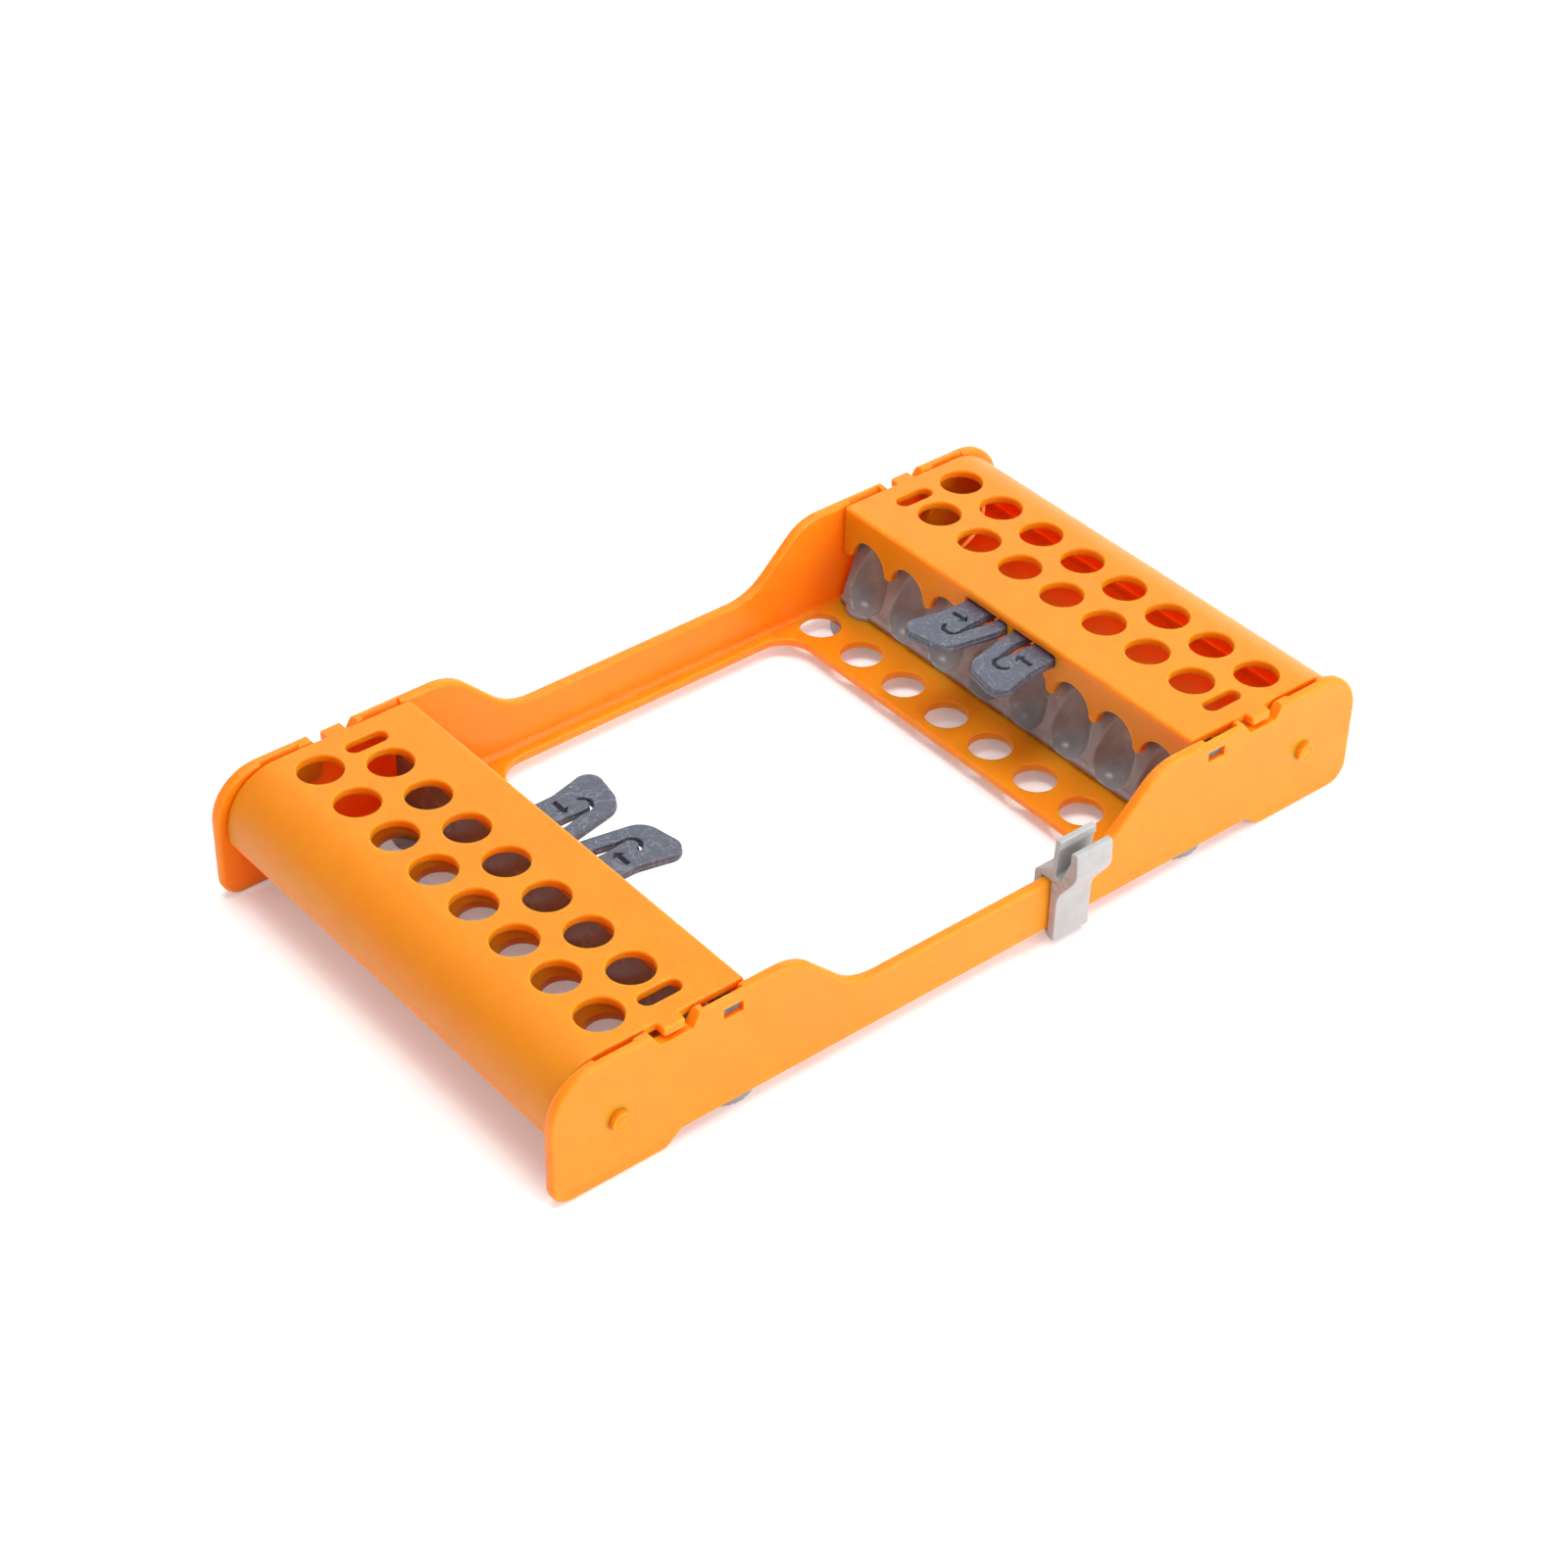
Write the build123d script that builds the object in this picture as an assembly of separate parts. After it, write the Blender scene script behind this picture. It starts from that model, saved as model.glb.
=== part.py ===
from build123d import *
import math
import os

# A dental instrument cassette: an open tray with a perforated cover hinged at each end.
# +X runs along the tray, +Y to its back, +Z up. The origin is the middle of the plan, on the table.

# ---- driving dimensions, millimetres ----
PITCH = 12.7                # instrument spacing across the tray
CHANNELS = 8                # instruments side by side
TRAY_LENGTH = 202.2
SIDE_MARGIN = 4.6           # outer face of a side wall beyond the outermost instrument's share
TRAY_HEIGHT = 28.8
WALL = 2.5                  # side walls
WALL_EDGE = 0.6             # broken outer edge of the side walls
END_FOOT_R = 4.5
FOOT_LENGTH = 25.4          # the feet, from the tray's ends
FOOT_STEP_RUN = 3.7
FOOT_STEP_R = 3.0
FLOOR_UNDER = 2.9           # underside of floor and rails
FLOOR = 1.9                 # floor thickness
FLOOR_FILLET = 1.3          # between floor and side wall
RAIL_TOP = 15.1
HUMP_LENGTH = 51.1          # from the tray's end to where its side wall starts to fall to the rail
SLOPE_ANGLE = 44.0
HUMP_R = 11.5
HOLLOW_R = 13.2
OPENING_INSET = 61.9        # central opening in the floor, from the tray's ends
LEDGE = 3.0                 # floor strip left beside the opening
OPENING_CORNER_R = 7.0
FLOOR_HOLES = 8             # in each strip row; one fewer in each covered row
FLOOR_HOLE_R = 4.6
FLOOR_HOLE_MARGIN = 5.09    # side wall to the outermost hole's middle
STRIP_ROW_INSET = 54.9
COVERED_ROW_INSET = 33.4
FLOOR_END_GAP = 0.7         # floor end to the pivot plane

PIVOT_INSET = 14.6          # pivot axis, from the tray's end
PIN_R = 2.0
PIN_CLEARANCE = 0.05        # radial, trunnion in its bore
PIN_PROUD = 1.0
CURL_LOW = 3.6              # lowest point of the floor's curled end
CURL_GAP = 0.4              # curl to the cover's end wall
CURL_RISE = 1.0             # the curl's lip above the pivot axis
SEAT = 0.1                  # cover's end wall starts this far above the pivot axis

COVER = 2.0                 # cover wall thickness
COVER_DROP = 0.06           # cover's top below the side walls' top
COVER_SIDE_GAP = 0.5        # each side, cover to side wall
COVER_END_INSET = 1.8       # cover's end wall inside the tray's end
COVER_LENGTH = 43.3
COVER_END_STRAIGHT = 2.94   # straight part of the end wall under its bend
COVER_EDGE_R = 0.8
COMB_DEPTH = 11.54          # top of the cover to the tips of the comb's teeth
TOOTH = 2.3                 # width of a tooth between two arches
TOOTH_ROUNDING = 0.48       # tip radius, as a share of that width
ARCH_RISE = 0.4             # arches' centres above the tips
HOLE_R = 4.6
HOLE_RIM = 0.5
OUTER_ROW_INSET = 17.0      # from the cover's end wall
ROW_SPACING = 11.9
SLOT_LENGTH = 9.2
SLOT_WIDTH = 3.7
SLOT_MARGIN = 6.0           # slot's middle to the cover's side
EAR_R = 8.6
EAR_REACH = 8.5             # ear's front edge ahead of the pivot
EAR_DEPTH = 7.74
EAR_CORNER_R = 1.5
TAB_REACH_X = 13.1          # rest tabs on the cover's sides, ahead of the pivot
TAB_WIDTH = 4.8
TAB_REACH = 2.5
TAB = 2.0
TAB_R = 0.6
NOTCH_DEPTH = 2.9           # notch in the side wall under the tab
NOTCH_HALF = 3.6
NOTCH_FLARE = 1.8
BOLT_RAMP = (-15.5, -6.0, 1.55, 2.6)   # start, end (from the tab), depth and height of the bolt's lead-in
EAR_RAMP = (8.1, 17.0, 1.0, 2.0)       # the same for the ear's lead-in

LATCH_GAP = 0.74            # cover's underside to the latch
LATCH = 1.8                 # latch plate thickness
BOLT_REACH_X = 4.6          # bolt's middle behind the comb's front face
BOLT_WIDTH = 4.2
BOLT_ENGAGE = 1.1           # bolt tip inside the wall's window
BOLT_LEAD = 0.4
WINDOW_GAP = 0.15
WINDOW_HEADROOM = 0.35
SLIDE_GAP = 0.15            # under the bar
LEG_ROOT_IN = 1.0           # inner leg, nearest the centre line
SLOT_IN = 4.3               # slot between the legs
SLOT_OUT = 6.6
LEG_ROOT_OUT = 13.4
LATCH_REACH = 17.4          # tip's outer corner ahead of the comb
LATCH_FLARE_Y = 16.3
LEG_SPLIT = 10.0            # end of the bending leg ahead of the comb
HOOK_AHEAD = 8.65           # hook at the end of the slot between the legs
HOOK_Y = 7.75
HOOK_R = 2.35
HOOK_WIDTH = 0.85
HOOK_TURN = 0.55            # hook's end, back from its middle
ARROW_AHEAD = 4.9
ARROW_TIP_Y = 7.5
ARROW_HEAD = 3.0
ARROW_HEAD_LENGTH = 1.5
ARROW_SHAFT = 1.0
ARROW_LENGTH = 4.4
POST_R = 1.1
POST_Y = 2.65
POST_GAP = 0.05
RIB = 1.2
LUG_Y = (18.0, 32.0, 46.0)
LUG_WIDTH = 3.0
LUG_REACH = 1.4
LUG = 0.6

REST_DEPTH = 7.6            # rest's top below the tray's top
REST_BACK = 5.0             # rest's back behind the comb's front face
REST_RIM = 0.55             # flat on the rest's top
REST_LEAN = 0.375           # run per rise of the front face
LIP_TOP = 6.9
LIP_WIDTH = 1.1
SCOOP_R = 5.25
SCOOP_FLOOR = 0.65          # silicone left under a scoop
SCOOP_FLAT_R = 2.6          # flat at a scoop's bottom
SCOOP_SIDE_RISE = 3.6       # rise of the slope from there to the scoop's upright side
SLIT = 0.6
SLIT_RISE = 5.55            # start of the slit above a scoop's bottom
PAD_BACK = 2.6              # feet under the rest, behind its front
PAD_MARGIN = 5.6
PAD_R = 7.8
STEM_R = 2.0
STEM_GAP = 0.1

CLIP_WIDTH = 9.3
CLIP_END_GAP = 0.47         # clip past the start of the rail's rise
CLIP_GAP = 0.1
CLIP_SKIN = 1.95
CLIP_HOOK = 1.4
CLIP_SKIRT_LOW = 6.6

# ---- worked out from the above ----
TRAY_WIDTH = CHANNELS * PITCH + 2 * SIDE_MARGIN
WALL_OUT = TRAY_WIDTH / 2
WALL_IN = WALL_OUT - WALL
END_X = TRAY_LENGTH / 2
FOOT_INNER_X = END_X - FOOT_LENGTH
FLOOR_TOP = FLOOR_UNDER + FLOOR
PIVOT_X = END_X - PIVOT_INSET
FLOOR_END_X = PIVOT_X - FLOOR_END_GAP
FLOOR_PITCH = 2 * (WALL_IN - FLOOR_HOLE_MARGIN) / (FLOOR_HOLES - 1)
OPENING_HALF_X = END_X - OPENING_INSET
OPENING_HALF_Y = WALL_IN - LEDGE
HALF_BEND = math.radians(SLOPE_ANGLE / 2)
SLOPE_TOP_X = END_X - HUMP_LENGTH - HUMP_R * math.tan(HALF_BEND)
SLOPE_RUN = (TRAY_HEIGHT - RAIL_TOP) / math.tan(math.radians(SLOPE_ANGLE))
SLOPE_FOOT_X = SLOPE_TOP_X - SLOPE_RUN
RAIL_END_X = SLOPE_FOOT_X - HOLLOW_R * math.tan(HALF_BEND)

COVER_TOP = TRAY_HEIGHT - COVER_DROP
COVER_UNDER = COVER_TOP - COVER
COVER_HALF = WALL_IN - COVER_SIDE_GAP
COVER_END_X = END_X - COVER_END_INSET
COVER_INNER_X = COVER_END_X - COVER_LENGTH
CURL_OUT_R = COVER_END_X - COVER - PIVOT_X - CURL_GAP
PIVOT_Z = CURL_LOW + CURL_OUT_R
COVER_END_LOW = PIVOT_Z + SEAT
COVER_END_R = COVER_TOP - COVER_END_LOW - COVER_END_STRAIGHT
END_TOP_R = COVER_END_R - 1.0
COMB_LOW = COVER_TOP - COMB_DEPTH
ARCH_Z = COMB_LOW + ARCH_RISE
ARCH_R = (PITCH - TOOTH) / 2
CHANNEL_Y = [(i - (CHANNELS - 1) / 2) * PITCH for i in range(CHANNELS)]
INNER_ROW_Y = [(i - (CHANNELS - 2) / 2) * PITCH for i in range(CHANNELS - 1)]
OUTER_ROW_X = COVER_END_X - OUTER_ROW_INSET
INNER_ROW_X = OUTER_ROW_X - ROW_SPACING
SLOT_Y = COVER_HALF - SLOT_MARGIN
EAR_IN = COVER_HALF - COVER
EAR_FRONT_X = PIVOT_X - EAR_REACH
EAR_LOW = COVER_TOP - EAR_DEPTH
TAB_X = PIVOT_X - TAB_REACH_X
NOTCH_LOW = TRAY_HEIGHT - NOTCH_DEPTH

LATCH_TOP = COVER_UNDER - LATCH_GAP
LATCH_LOW = LATCH_TOP - LATCH
BOLT_X = COVER_INNER_X + BOLT_REACH_X
BOLT_TIP_Y = WALL_IN + BOLT_ENGAGE
BOLT_OUT_X = BOLT_X + BOLT_WIDTH / 2
BOLT_IN_X = BOLT_X - BOLT_WIDTH / 2
LATCH_TIP_X = COVER_INNER_X - LATCH_REACH
LEG_SPLIT_X = COVER_INNER_X - LEG_SPLIT
HOOK_X = COVER_INNER_X - HOOK_AHEAD
HOOK_END_X = HOOK_X - HOOK_TURN
ARROW_X = COVER_INNER_X - ARROW_AHEAD

REST_TOP = TRAY_HEIGHT - REST_DEPTH
REST_BACK_X = COVER_INNER_X + REST_BACK
REST_TOP_X = REST_BACK_X - REST_RIM
REST_FOOT_X = REST_TOP_X - REST_LEAN * (REST_TOP - LIP_TOP - LIP_WIDTH / 2)
REST_FRONT_X = REST_FOOT_X - LIP_WIDTH / 5
SCOOP_X = REST_FRONT_X
SCOOP_LOW = FLOOR_TOP + SCOOP_FLOOR
REST_HALF = WALL_IN - FLOOR_FILLET
PAD_X = REST_FRONT_X + PAD_BACK
PAD_Y = REST_HALF - PAD_MARGIN
BIG = 2 * TRAY_LENGTH


def outline(corners):
    """A closed face from (x, y, corner radius) rows."""
    points = [(x, y) for x, y, _ in corners]
    radii = [r for _, _, r in corners]
    return make_face(FilletPolyline(points, radius=radii, close=True))


def slab_x(face, low, high):
    """A face drawn in Y and Z, thickened along X."""
    return extrude(Plane.YZ.offset(low) * face, high - low)


def slab_y(face, low, high):
    """A face drawn in X and Z, thickened along Y."""
    return extrude(Plane.XZ.offset(-high) * face, high - low)


def slab_z(face, low, high):
    """A face drawn in X and Y, thickened along Z."""
    return extrude(Plane.XY.offset(low) * face, high - low)


def block(x, y, z):
    """A box from its (low, high) pair on each axis."""
    size = [high - low for low, high in (x, y, z)]
    middle = [(high + low) / 2 for low, high in (x, y, z)]
    return Pos(*middle) * Box(*size)


def front_and_back(shape):
    return [shape, mirror(shape, Plane.XZ)]


def both_ends(shape):
    return [shape, mirror(shape, Plane.YZ)]


def all_quadrants(shape):
    return [twin for end in both_ends(shape) for twin in front_and_back(end)]


# ---- frame ----
def side_wall():
    """The back wall: tall humps at the ends, a low rail between them, and feet."""
    right = [
        (FOOT_INNER_X - FOOT_STEP_RUN, FLOOR_UNDER, FOOT_STEP_R),
        (FOOT_INNER_X, 0, FOOT_STEP_R),
        (END_X, 0, END_FOOT_R),
        (END_X, TRAY_HEIGHT, END_TOP_R),
        (SLOPE_TOP_X, TRAY_HEIGHT, HUMP_R),
        (SLOPE_FOOT_X, RAIL_TOP, HOLLOW_R),
    ]
    left = [(-x, z, r) for x, z, r in reversed(right)]
    wall = slab_y(outline(right + left), WALL_IN, WALL_OUT)
    outer_edges = wall.faces().sort_by(Axis.Y)[-1].edges()
    return chamfer(outer_edges, WALL_EDGE)


def wall_cuts():
    """What is cut from the right end of the back wall."""
    notch = outline([
        (TAB_X - NOTCH_HALF, NOTCH_LOW, 0),
        (TAB_X + NOTCH_HALF, NOTCH_LOW, 0),
        (TAB_X + NOTCH_HALF + NOTCH_FLARE, TRAY_HEIGHT, 0),
        (TAB_X - NOTCH_HALF - NOTCH_FLARE, TRAY_HEIGHT, 0),
    ])
    window = block(
        (BOLT_IN_X - WINDOW_GAP, BOLT_OUT_X + WINDOW_GAP),
        (WALL_IN - WALL, WALL_OUT + WALL),
        (LATCH_LOW - SLIDE_GAP, LATCH_TOP + WINDOW_HEADROOM),
    )
    bore = Pos(PIVOT_X, WALL_OUT, PIVOT_Z) * Rot(90, 0, 0) * Cylinder(PIN_R + PIN_CLEARANCE, 4 * WALL)
    notch = slab_y(notch, WALL_IN - WALL, WALL_OUT + WALL)
    return [notch, window, bore, lead_in(BOLT_RAMP), lead_in(EAR_RAMP)]


def lead_in(ramp):
    """A ramp cut into the wall's inner top edge, which lets the closing cover in."""
    start, end, depth, height = ramp
    section = outline([
        (WALL_IN, TRAY_HEIGHT - height, 0),
        (WALL_IN + depth, TRAY_HEIGHT, 0),
        (WALL_IN, TRAY_HEIGHT, 0),
    ])
    return slab_x(section, TAB_X + start, TAB_X + end)


def floor_plate():
    """Floor at both ends, joined by the ledges beside the central opening."""
    plate = Rectangle(2 * FLOOR_END_X, 2 * WALL_IN)
    plate -= RectangleRounded(2 * OPENING_HALF_X, 2 * OPENING_HALF_Y, OPENING_CORNER_R)
    for inset, count in ((STRIP_ROW_INSET, FLOOR_HOLES), (COVERED_ROW_INSET, FLOOR_HOLES - 1)):
        row = GridLocations(2 * (END_X - inset), FLOOR_PITCH, 2, count)
        plate -= row * Circle(FLOOR_HOLE_R)
    stems = [Pos(x, y) * Circle(STEM_R + STEM_GAP) for x in (PAD_X, -PAD_X) for y in (PAD_Y, -PAD_Y)]
    return slab_z(plate - stems, FLOOR_UNDER, FLOOR_TOP)


def floor_curl():
    """The floor's right end, curled up around the pivot inside the sweep of the cover's end wall."""
    ring = Circle(CURL_OUT_R) - Circle(CURL_OUT_R - FLOOR)
    height = CURL_OUT_R + CURL_RISE
    window = Pos(FLOOR_END_X + BIG / 2, CURL_LOW + height / 2) * Rectangle(BIG, height)
    return slab_y((Pos(PIVOT_X, PIVOT_Z) * ring) & window, -OPENING_HALF_Y, OPENING_HALF_Y)


def make_frame():
    """Side walls, floor, ledges and curls as one moulding."""
    wall = side_wall() - all_in_back_wall(wall_cuts())
    tray = floor_plate() + front_and_back(wall)
    corners = tray.edges().filter_by(Axis.X).filter_by(
        lambda e: abs(abs(e.center().Y) - WALL_IN) < 0.01 and abs(e.center().Z - FLOOR_TOP) < 0.01
    )
    tray = fillet(corners, FLOOR_FILLET)
    return tray + both_ends(floor_curl())


def all_in_back_wall(cuts):
    return [twin for cut in cuts for twin in both_ends(cut)]


# ---- cover ----
def cover_shell():
    """Top plate that curves down into the end wall."""
    band = outline([
        (COVER_INNER_X, COVER_UNDER, 0),
        (COVER_INNER_X, COVER_TOP, COVER_EDGE_R),
        (COVER_END_X, COVER_TOP, COVER_END_R),
        (COVER_END_X, COVER_END_LOW, 0),
        (COVER_END_X - COVER, COVER_END_LOW, 0),
        (COVER_END_X - COVER, COVER_UNDER, COVER_END_R - COVER),
    ])
    return slab_y(band, -COVER_HALF, COVER_HALF)


def comb_wall():
    """Inner wall with an arch over each instrument and rounded teeth between them."""
    height = COVER_TOP - COVER / 2 - COMB_LOW
    face = Pos(0, COMB_LOW + height / 2) * Rectangle(2 * COVER_HALF, height)
    face -= [Pos(y, ARCH_Z) * Circle(ARCH_R) for y in CHANNEL_Y]
    tips = face.vertices().filter_by(lambda v: abs(v.Y - COMB_LOW) < 0.01)
    face = fillet(tips, TOOTH_ROUNDING * TOOTH)
    wall = slab_x(face, COVER_INNER_X, COVER_INNER_X + COVER)
    leg_window = block(
        (COVER_INNER_X - COVER, COVER_INNER_X + 2 * COVER),
        (LEG_ROOT_IN - SLIDE_GAP, LEG_ROOT_OUT + SLIDE_GAP),
        (LATCH_LOW - SLIDE_GAP, COVER_UNDER),
    )
    return wall - front_and_back(leg_window)


def ear():
    """Back side plate of the cover, from the top plate down around the pivot."""
    profile = outline([
        (EAR_FRONT_X, EAR_LOW, EAR_CORNER_R),
        (PIVOT_X, EAR_LOW, 0),
        (PIVOT_X, COVER_END_LOW, 0),
        (COVER_END_X, COVER_END_LOW, 0),
        (COVER_END_X, COVER_TOP, COVER_END_R),
        (EAR_FRONT_X, COVER_TOP, 0),
    ])
    profile += Pos(PIVOT_X, PIVOT_Z) * Circle(EAR_R)
    plate = slab_y(profile, EAR_IN, COVER_HALF)
    length = WALL_OUT + PIN_PROUD - EAR_IN
    trunnion = Pos(PIVOT_X, EAR_IN + length / 2, PIVOT_Z) * Rot(90, 0, 0) * Cylinder(PIN_R, length)
    trunnion = chamfer(trunnion.edges().sort_by(Axis.Y)[-1], PIN_PROUD / 4)
    return plate + trunnion


def rest_tab():
    """Tab on the cover's back side that drops into the side wall's notch."""
    reach = COVER_HALF + TAB_REACH
    tab = block(
        (TAB_X - TAB_WIDTH / 2, TAB_X + TAB_WIDTH / 2),
        (COVER_HALF - COVER, reach),
        (COVER_TOP - TAB, COVER_TOP),
    )
    corners = tab.edges().filter_by(Axis.Z).filter_by(lambda e: e.center().Y > COVER_HALF)
    return fillet(corners, TAB_R)


def latch_guides():
    """Rib, lugs and post under the cover that carry the back latch."""
    rib_x = BOLT_OUT_X + SLIDE_GAP
    rib = block((rib_x, rib_x + RIB), (SLOT_OUT, EAR_IN), (LATCH_LOW - SLIDE_GAP - LUG, COVER_UNDER))
    wall_x = COVER_INNER_X + COVER
    lug_top = LATCH_LOW - SLIDE_GAP
    lug = block(
        (wall_x - COVER / 2, wall_x + LUG_REACH),
        (-LUG_WIDTH / 2, LUG_WIDTH / 2),
        (lug_top - LUG, lug_top),
    )
    lugs = [Pos(0, y, 0) * lug for y in LUG_Y]
    drop = COVER_UNDER - lug_top + LUG
    post = Pos(BOLT_X, POST_Y, COVER_UNDER - drop / 2) * Cylinder(POST_R, drop)
    return [rib, post] + lugs


def make_cover():
    """The right cover."""
    cover = cover_shell() + comb_wall()
    cover += [twin for piece in [ear(), rest_tab()] + latch_guides() for twin in front_and_back(piece)]
    holes = [Pos(OUTER_ROW_X, y) * Circle(HOLE_R) for y in CHANNEL_Y]
    holes += [Pos(INNER_ROW_X, y) * Circle(HOLE_R) for y in INNER_ROW_Y]
    slots = [Pos(INNER_ROW_X, y) * SlotOverall(SLOT_LENGTH, SLOT_WIDTH) for y in (SLOT_Y, -SLOT_Y)]
    cover -= [slab_z(hole, COVER_UNDER - COVER, COVER_TOP + COVER) for hole in holes + slots]
    rims = cover.edges().filter_by(GeomType.CIRCLE).filter_by(
        lambda e: abs(e.center().Z - COVER_TOP) < 0.01 and abs(e.radius - HOLE_R) < 0.01
    )
    return chamfer(rims, HOLE_RIM)


# ---- latches ----
def latch_plan():
    """Plan of one squeeze tab: two legs, the hooked slot between them, and the arrow cut-out."""
    root_x = BOLT_OUT_X
    plan = outline([
        (root_x, LEG_ROOT_IN, 0),
        (COVER_INNER_X - COVER, LEG_ROOT_IN, 4.0),
        (LATCH_TIP_X + 2.4, SLOT_IN - 0.8, 5.0),
        (LATCH_TIP_X, LATCH_FLARE_Y, 3.0),
        (LATCH_TIP_X + 5.7, LATCH_FLARE_Y - 1.5, 8.0),
        (LATCH_TIP_X + 11.7, LEG_ROOT_OUT, 6.0),
        (root_x, LEG_ROOT_OUT, 0),
    ])
    return plan - slot_between_legs() - arrow()


def slot_between_legs():
    taper = outline([
        (BOLT_OUT_X + BOLT_WIDTH, SLOT_IN, 0),
        (COVER_INNER_X - COVER, SLOT_IN, 0),
        (HOOK_X + HOOK_WIDTH, HOOK_Y - HOOK_R, 0),
        (HOOK_X - HOOK_WIDTH / 2, HOOK_Y - HOOK_R, 0),
        (HOOK_X - HOOK_WIDTH / 2, HOOK_Y - HOOK_R + HOOK_WIDTH, 0),
        (HOOK_X + HOOK_WIDTH, HOOK_Y - HOOK_R + HOOK_WIDTH, 0),
        (COVER_INNER_X - COVER - HOOK_R, SLOT_OUT, 0),
        (BOLT_OUT_X + BOLT_WIDTH, SLOT_OUT, 0),
    ])
    ring = Pos(HOOK_X, HOOK_Y) * (Circle(HOOK_R) - Circle(HOOK_R - HOOK_WIDTH))
    lower = Pos(HOOK_X - HOOK_R, HOOK_Y - HOOK_R) * Rectangle(2 * HOOK_R, 2 * HOOK_R)
    upper_width = HOOK_END_X - HOOK_X + HOOK_R
    upper = Pos(HOOK_END_X - upper_width / 2, HOOK_Y + HOOK_R / 2) * Rectangle(upper_width, HOOK_R)
    middle_r = HOOK_R - HOOK_WIDTH / 2
    end_y = HOOK_Y + math.sqrt(middle_r ** 2 - (HOOK_X - HOOK_END_X) ** 2)
    end = Pos(HOOK_END_X, end_y) * Circle(HOOK_WIDTH / 2)
    return taper + (ring & (lower + upper)) + end


def arrow():
    neck_y = ARROW_TIP_Y + ARROW_HEAD_LENGTH
    tail_y = ARROW_TIP_Y + ARROW_LENGTH
    return outline([
        (ARROW_X, ARROW_TIP_Y, 0),
        (ARROW_X + ARROW_HEAD / 2, neck_y, 0),
        (ARROW_X + ARROW_SHAFT / 2, neck_y, 0),
        (ARROW_X + ARROW_SHAFT / 2, tail_y, 0),
        (ARROW_X - ARROW_SHAFT / 2, tail_y, 0),
        (ARROW_X - ARROW_SHAFT / 2, neck_y, 0),
        (ARROW_X - ARROW_HEAD / 2, neck_y, 0),
    ])


def bending_leg_region():
    """The part of the plan that bends: the inner leg, back from the tip."""
    length = BOLT_OUT_X - LEG_SPLIT_X
    height = HOOK_Y - HOOK_WIDTH
    return Pos(LEG_SPLIT_X + length / 2, height / 2) * Rectangle(length, height)


def make_latch():
    """The right back latch: outer leg and tip, bar and bolt."""
    plan = latch_plan()
    bending = plan & bending_leg_region()
    inner_leg = [face for face in bending.faces() if face.center().Y < SLOT_IN + 1]
    plate = slab_z(plan - Sketch(inner_leg), LATCH_LOW, LATCH_TOP)
    bar = block((BOLT_IN_X, BOLT_OUT_X), (SLOT_OUT, BOLT_TIP_Y), (LATCH_LOW, LATCH_TOP))
    tip_edges = bar.faces().sort_by(Axis.Y)[-1].edges()
    bar = chamfer(tip_edges.sort_by(Axis.Z)[0], BOLT_LEAD)
    return plate + bar


def make_latch_spring():
    """The right back latch's inner leg, fixed to the post under the cover."""
    bending = latch_plan() & bending_leg_region()
    inner_leg = [face for face in bending.faces() if face.center().Y < SLOT_IN + 1]
    hole = Pos(BOLT_X, POST_Y) * Circle(POST_R + POST_GAP)
    return slab_z(Sketch(inner_leg) - hole, LATCH_LOW, LATCH_TOP)


# ---- instrument rest ----
def make_rest():
    """The right rest: leaning face with a scoop and a slit for each instrument, on two round feet."""
    profile = outline([
        (REST_FRONT_X, FLOOR_TOP, 0),
        (REST_FRONT_X - LIP_WIDTH / 2, LIP_TOP - LIP_WIDTH / 2, 0.3),
        (REST_FRONT_X, LIP_TOP, 0.3),
        (REST_FRONT_X + LIP_WIDTH / 2, LIP_TOP, 0),
        (REST_FOOT_X, LIP_TOP + LIP_WIDTH / 2, 0),
        (REST_TOP_X, REST_TOP, 0),
        (REST_BACK_X, REST_TOP, 0),
        (REST_BACK_X, FLOOR_TOP, 0),
    ])
    rest = slab_y(profile, -REST_HALF, REST_HALF)
    top = REST_TOP - SCOOP_LOW + SLIT
    side = [(0, 0), (SCOOP_FLAT_R, 0), (SCOOP_R, SCOOP_SIDE_RISE), (SCOOP_R, top), (0, top)]
    half_section = Plane.XZ * make_face(Polyline(*side, close=True))
    scoop = Pos(SCOOP_X, 0, SCOOP_LOW) * revolve(half_section, Axis.Z)
    slit = block(
        (SCOOP_X, REST_BACK_X + SLIT),
        (-SLIT / 2, SLIT / 2),
        (SCOOP_LOW + SLIT_RISE, REST_TOP + SLIT),
    )
    rest -= [Pos(0, y, 0) * (scoop + slit) for y in CHANNEL_Y]
    stem = Pos(PAD_X, PAD_Y, FLOOR_TOP - FLOOR / 2) * Cylinder(STEM_R, FLOOR)
    pad = Pos(PAD_X, PAD_Y, FLOOR_UNDER / 2) * Cylinder(PAD_R, FLOOR_UNDER)
    return rest + front_and_back(stem) + front_and_back(pad)


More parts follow.
